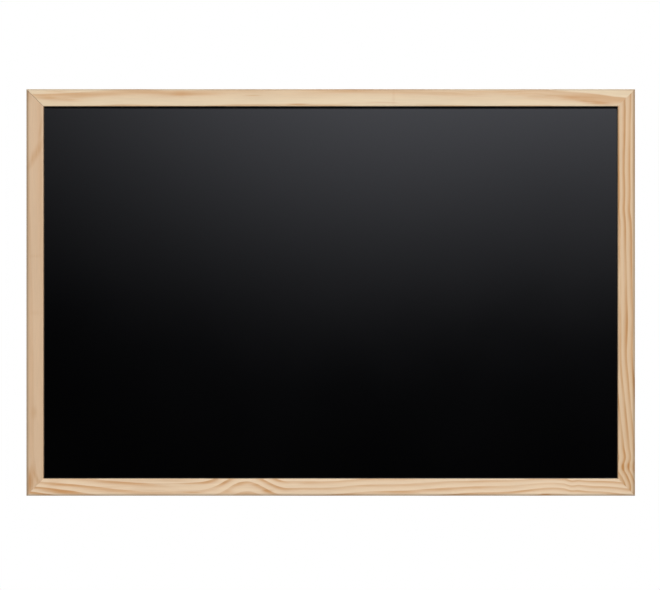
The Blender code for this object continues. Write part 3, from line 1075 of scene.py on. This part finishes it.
def hanging_ring(name, sizes):
    """The right-hand ring: one length of wire, with a straight bar in the eye and a round crown below."""
    wire = sizes.wire_radius
    bend = sizes.ring_bend
    centre = halfway(RING_LOW, RING_HIGH)
    bar_z = RING_HIGH.z - wire
    half = (RING_HIGH.x - RING_LOW.x) / 2 - wire
    straight = half - bend
    crown_z = RING_LOW.z + wire + half
    ring = disc(name, wire, WIRE_STEPS, (centre.x, centre.y, bar_z), (0, QUARTER, 0), "NOTHING")
    open_edit(ring)

    def turn_wire(angle, x, z, steps):
        bpy.ops.mesh.spin(steps=steps, angle=angle, center=(x, centre.y, z), axis=(0, -1, 0))

    extrude((straight, 0, 0))
    turn_wire(QUARTER, centre.x + straight, bar_z - bend, BEND_STEPS)
    extrude((0, 0, crown_z - bar_z + bend))
    turn_wire(2 * QUARTER, centre.x, crown_z, CROWN_STEPS)
    extrude((0, 0, bar_z - bend - crown_z))
    turn_wire(QUARTER, centre.x - straight, bar_z - bend, BEND_STEPS)
    extrude((straight, 0, 0))
    mend_normals()
    close_edit()
    return ring


def wall_bumper(name):
    """The right-hand bumper: a low rubber stud with a soft rim and a dished tip."""
    radius = (BUMPER_HIGH.x - BUMPER_LOW.x) / 2
    height = BUMPER_HIGH.y - BACK_Y
    tip = radius * BUMPER_TAPER
    angles = [QUARTER * step / BUMPER_ROUND_STEPS for step in range(BUMPER_ROUND_STEPS + 1)]
    profile = [
        *[(radius * share, foot) for share, foot in BUMPER_FOOT],
        *[
            (tip - BUMPER_ROUND * (1 - math.cos(angle)), height - BUMPER_ROUND * (1 - math.sin(angle)))
            for angle in angles
        ],
        *[(tip * share, height - depth) for share, depth in BUMPER_DISH],
    ]
    return turned(name, halfway(BUMPER_LOW, BUMPER_HIGH), BACK_Y, profile, BUMPER_STEPS)


# Operators


class Step:
    """What the operators have in common."""

    bl_options = {"REGISTER", "UNDO"}


class CHALKBOARD_OT_pine_frame(Step, bpy.types.Operator):
    """Model the four mitred lengths of pine, with the pockets and slots of their fixings"""

    bl_idname = "chalkboard.pine_frame"
    bl_label = "Pine Frame"

    def execute(self, context):
        for side in SIDES:
            frame_member(side, context.scene.chalkboard_frame)
        return {"FINISHED"}


class CHALKBOARD_OT_writing_panel(Step, bpy.types.Operator):
    """Model the lacquered hardboard panel that lies in the rebate"""

    bl_idname = "chalkboard.writing_panel"
    bl_label = "Writing Panel"

    def execute(self, context):
        sizes = context.scene.chalkboard_panel
        colours = context.scene.chalkboard_colours
        lip_back = FRONT_Y + context.scene.chalkboard_frame.lip_depth
        low = Vector((PANEL_LOW.x, lip_back + HAIRLINE, PANEL_LOW.z))
        high = Vector((PANEL_HIGH.x, POINT_LOW.y - HAIRLINE, PANEL_HIGH.z))
        panel = block("lacquered_panel", low, high)
        ease(panel, sizes.edge_ease, 3)
        smooth(panel)
        dress(
            panel, "board", "writing_panel", "writing_lacquer",
            lacquer_finish(colours.lacquer), hardboard_finish(colours.hardboard, sizes.screen_pitch),
        )
        for face in panel.data.polygons:
            face.material_index = 1 if face.normal.y > 0.9 else 0
        return {"FINISHED"}


class CHALKBOARD_OT_v_nails(Step, bpy.types.Operator):
    """Model the V-nail in each mitre"""

    bl_idname = "chalkboard.v_nails"
    bl_label = "V-Nails"

    def execute(self, context):
        colours = context.scene.chalkboard_colours
        steel = steel_finish("nail_steel", colours.nail_steel)
        first = v_nail("steel_v_nail_top_left")
        ease(first, context.scene.chalkboard_fixings.steel_ease * 0.5, 1)
        places = {f"v_nail_{corner}": corner for corner in CORNERS}
        for node, nail in turned_copies(first, "v_nail_top_left", places, CORNERS).items():
            smooth(nail)
            dress(nail, "board", node, "nail_steel", steel)
        return {"FINISHED"}


class CHALKBOARD_OT_retaining_points(Step, bpy.types.Operator):
    """Model the ten steel points that hold the panel in the rebate"""

    bl_idname = "chalkboard.retaining_points"
    bl_label = "Retaining Points"

    def execute(self, context):
        colours = context.scene.chalkboard_colours
        steel = steel_finish("point_steel", colours.point_steel)
        first = retaining_point("steel_left_point_1", context.scene.chalkboard_fixings)
        smooth(first)
        nodes = sorted(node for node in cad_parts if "_point_" in node)
        places = {node: node.split("_")[0] for node in nodes}
        for node, point in turned_copies(first, "left_point_1", places, SIDES).items():
            dress(point, "board", node, "point_steel", steel)
        return {"FINISHED"}


def pair(first, node, slot, material, body="board"):
    """Dresses the right-hand piece, and a copy of it on the left. The body may be one for each {side}."""
    left = copy_of(first, first.name.replace("right", "left"))
    shift(left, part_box(f"left_{node}")[0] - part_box(f"right_{node}")[0])
    for side, piece in (("right", first), ("left", left)):
        smooth(piece)
        dress(piece, body.format(side=side), f"{side}_{node}", slot, material)


def zinc():
    """The zinc plating that plates, screws and rings share, built on first use."""
    colour = bpy.context.scene.chalkboard_colours.zinc
    return bpy.data.materials.get("zinc_plate") or steel_finish("zinc_plate", colour)


class CHALKBOARD_OT_hanger_plates(Step, bpy.types.Operator):
    """Model the two plates with rolled eyes on the back of the stiles"""

    bl_idname = "chalkboard.hanger_plates"
    bl_label = "Hanger Plates"

    def execute(self, context):
        plate = hanger_plate("zinc_right_plate", context.scene.chalkboard_fixings)
        pair(plate, "hanger_plate", "zinc_plate", zinc())
        return {"FINISHED"}


class CHALKBOARD_OT_hanger_screws(Step, bpy.types.Operator):
    """Model the screws that hold the hanger plates"""

    bl_idname = "chalkboard.hanger_screws"
    bl_label = "Hanger Screws"

    def execute(self, context):
        screw = hanger_screw("zinc_right_screw", context.scene.chalkboard_fixings)
        pair(screw, "hanger_screw", "zinc_plate", zinc())
        return {"FINISHED"}


class CHALKBOARD_OT_hanging_rings(Step, bpy.types.Operator):
    """Model the wire rings that swing in the eyes"""

    bl_idname = "chalkboard.hanging_rings"
    bl_label = "Hanging Rings"

    def execute(self, context):
        ring = hanging_ring("zinc_right_ring", context.scene.chalkboard_fixings)
        pair(ring, "hanging_ring", "zinc_plate", zinc(), "{side}_ring")
        return {"FINISHED"}


class CHALKBOARD_OT_wall_bumpers(Step, bpy.types.Operator):
    """Model the rubber bumpers at the lower corners of the back"""

    bl_idname = "chalkboard.wall_bumpers"
    bl_label = "Wall Bumpers"

    def execute(self, context):
        rubber = rubber_finish(context.scene.chalkboard_colours.rubber)
        bumper = wall_bumper("rubber_right_bumper")
        pair(bumper, "wall_bumper", "bumper_rubber", rubber)
        return {"FINISHED"}


# Studio


def broad_light(name, side, height, spread, strength):
    """Far, soft light from a side, in degrees round from the front, and a height above the horizon."""
    light = bpy.data.lights.new(name, "SUN")
    light.angle = math.radians(spread)
    light.energy = strength
    lamp = bpy.data.objects.new(name, light)
    lamp.rotation_euler = (math.radians(90 - height), 0, math.radians(side))
    bpy.context.scene.collection.objects.link(lamp)


def studio_world(studio):
    """White round the board for the eye, dimmer for its light, with a dark room in front of its face."""
    world = bpy.data.worlds.new("studio")
    bpy.context.scene.world = world
    world.use_nodes = True
    made = Nodes(world.node_tree)
    background = made.tree.nodes["Background"].inputs
    maths, product, spread = made.maths, made.product, made.spread
    ray = made.node("ShaderNodeLightPath").outputs
    view = made.node("ShaderNodeTexCoord").outputs["Generated"]
    way = made.node("ShaderNodeSeparateXYZ", {0: view}).outputs
    dip = maths("ADD", spread(way["X"], *DIP_LEFT), spread(way["X"], *DIP_RIGHT))
    level = maths("SUBTRACT", way["Z"], dip)
    rise = maths("ADD", spread(level, *GLOW_FOOT, "LINEAR"), spread(level, *GLOW_BRIM))
    window = product(rise, spread(way["Z"], *GLOW_TOP))
    width = product(spread(way["X"], *GLOW_LEFT), spread(way["X"], *GLOW_RIGHT))
    glow = product(product(window, width), studio.glow)
    around = product(spread(way["Y"], *ROOM_BEHIND), spread(way["Z"], *ROOM_ABOVE))
    seen = made.seen_straight(ray)
    mirrored = product(ray["Is Glossy Ray"], maths("MAXIMUM", glow, around))
    plain = maths("SUBTRACT", 1.0, maths("MAXIMUM", seen, ray["Is Glossy Ray"]))
    strength = maths("ADD", maths("ADD", seen, mirrored), product(plain, studio.ambient))
    made.feed(background["Strength"], strength)
    made.feed(background["Color"], WHITE)


def floor_finish(studio):
    """Pale floor that fades to the white of the surroundings, and keeps what shadow falls on it."""
    made = Finish("pale_floor")
    radius = made.node("ShaderNodeVectorMath", {0: made.place}, operation="LENGTH").outputs["Value"]
    away = made.spread(radius, studio.floor_reach * 0.55, studio.floor_reach * 0.97)
    ray = made.node("ShaderNodeLightPath").outputs
    seen = made.maths("MAXIMUM", made.seen_straight(ray), ray["Is Glossy Ray"])
    lift = made.product(seen, made.spread(away, 0.0, 1.0, 0.30, 1.0, "LINEAR"))
    return made.set(
        Base_Color=made.tinted(FLOOR_COLOUR, made.maths("SUBTRACT", 1.0, away)),
        Roughness=0.9, Specular_IOR_Level=0.0, Emission_Color=WHITE, Emission_Strength=lift,
    )


class CHALKBOARD_OT_studio(Step, bpy.types.Operator):
    """Set up the floor, the soft light and the camera"""

    bl_idname = "chalkboard.studio"
    bl_label = "Studio"

    def execute(self, context):
        studio = context.scene.chalkboard_studio
        floor = disc("floor", studio.floor_reach, FLOOR_STEPS, (0, 0, 0))
        floor.location = (0, studio.floor_set_back, -studio.floor_drop)
        floor.data.materials.append(floor_finish(studio))
        for name, way in LIGHTS.items():
            broad_light(name, *way, getattr(studio, name))
        studio_world(studio)
        camera = bpy.data.cameras.new("camera")
        camera.sensor_width = SENSOR_WIDTH
        camera.lens = SENSOR_WIDTH * (studio.camera_distance + FRONT_Y) / studio.view_width
        camera.clip_start = CLIP_START
        holder = bpy.data.objects.new("camera", camera)
        holder.location = (CAMERA_ASIDE, -studio.camera_distance, CAMERA_HEIGHT)
        holder.rotation_euler = (QUARTER, 0, 0)
        context.scene.collection.objects.link(holder)
        context.scene.camera = holder
        context.scene.view_settings.view_transform = "Standard"
        return {"FINISHED"}


class CHALKBOARD_PT_sidebar(bpy.types.Panel):
    """Sizes, colours and steps of the chalkboard"""

    bl_idname = "CHALKBOARD_PT_sidebar"
    bl_label = "Wall Chalkboard"
    bl_space_type = "VIEW_3D"
    bl_region_type = "UI"
    bl_category = "Chalkboard"

    def draw(self, context):
        layout = self.layout
        for name in SETTINGS:
            box = layout.box()
            group = getattr(context.scene, name)
            for key in group.__annotations__:
                box.prop(group, key)
        for operator in OPERATORS:
            layout.operator(operator.bl_idname)


SETTINGS = {
    "chalkboard_frame": ChalkboardFrameSizes,
    "chalkboard_panel": ChalkboardPanelSizes,
    "chalkboard_fixings": ChalkboardFixingSizes,
    "chalkboard_colours": ChalkboardColours,
    "chalkboard_studio": ChalkboardStudio,
}
OPERATORS = (
    CHALKBOARD_OT_pine_frame,
    CHALKBOARD_OT_writing_panel,
    CHALKBOARD_OT_v_nails,
    CHALKBOARD_OT_retaining_points,
    CHALKBOARD_OT_hanger_plates,
    CHALKBOARD_OT_hanger_screws,
    CHALKBOARD_OT_hanging_rings,
    CHALKBOARD_OT_wall_bumpers,
    CHALKBOARD_OT_studio,
)


CLASSES = (*SETTINGS.values(), *OPERATORS, CHALKBOARD_PT_sidebar)


def register():
    for kind in CLASSES:
        bpy.utils.register_class(kind)
    for name, group in SETTINGS.items():
        setattr(bpy.types.Scene, name, PointerProperty(type=group))


def unregister():
    for name in SETTINGS:
        delattr(bpy.types.Scene, name)
    for kind in reversed(CLASSES):
        bpy.utils.unregister_class(kind)


def main():
    register()
    bpy.ops.chalkboard.pine_frame()
    bpy.ops.chalkboard.writing_panel()
    bpy.ops.chalkboard.v_nails()
    bpy.ops.chalkboard.retaining_points()
    bpy.ops.chalkboard.hanger_plates()
    bpy.ops.chalkboard.hanger_screws()
    bpy.ops.chalkboard.hanging_rings()
    bpy.ops.chalkboard.wall_bumpers()
    bpy.ops.chalkboard.studio()


if __name__ == "__main__":
    main()
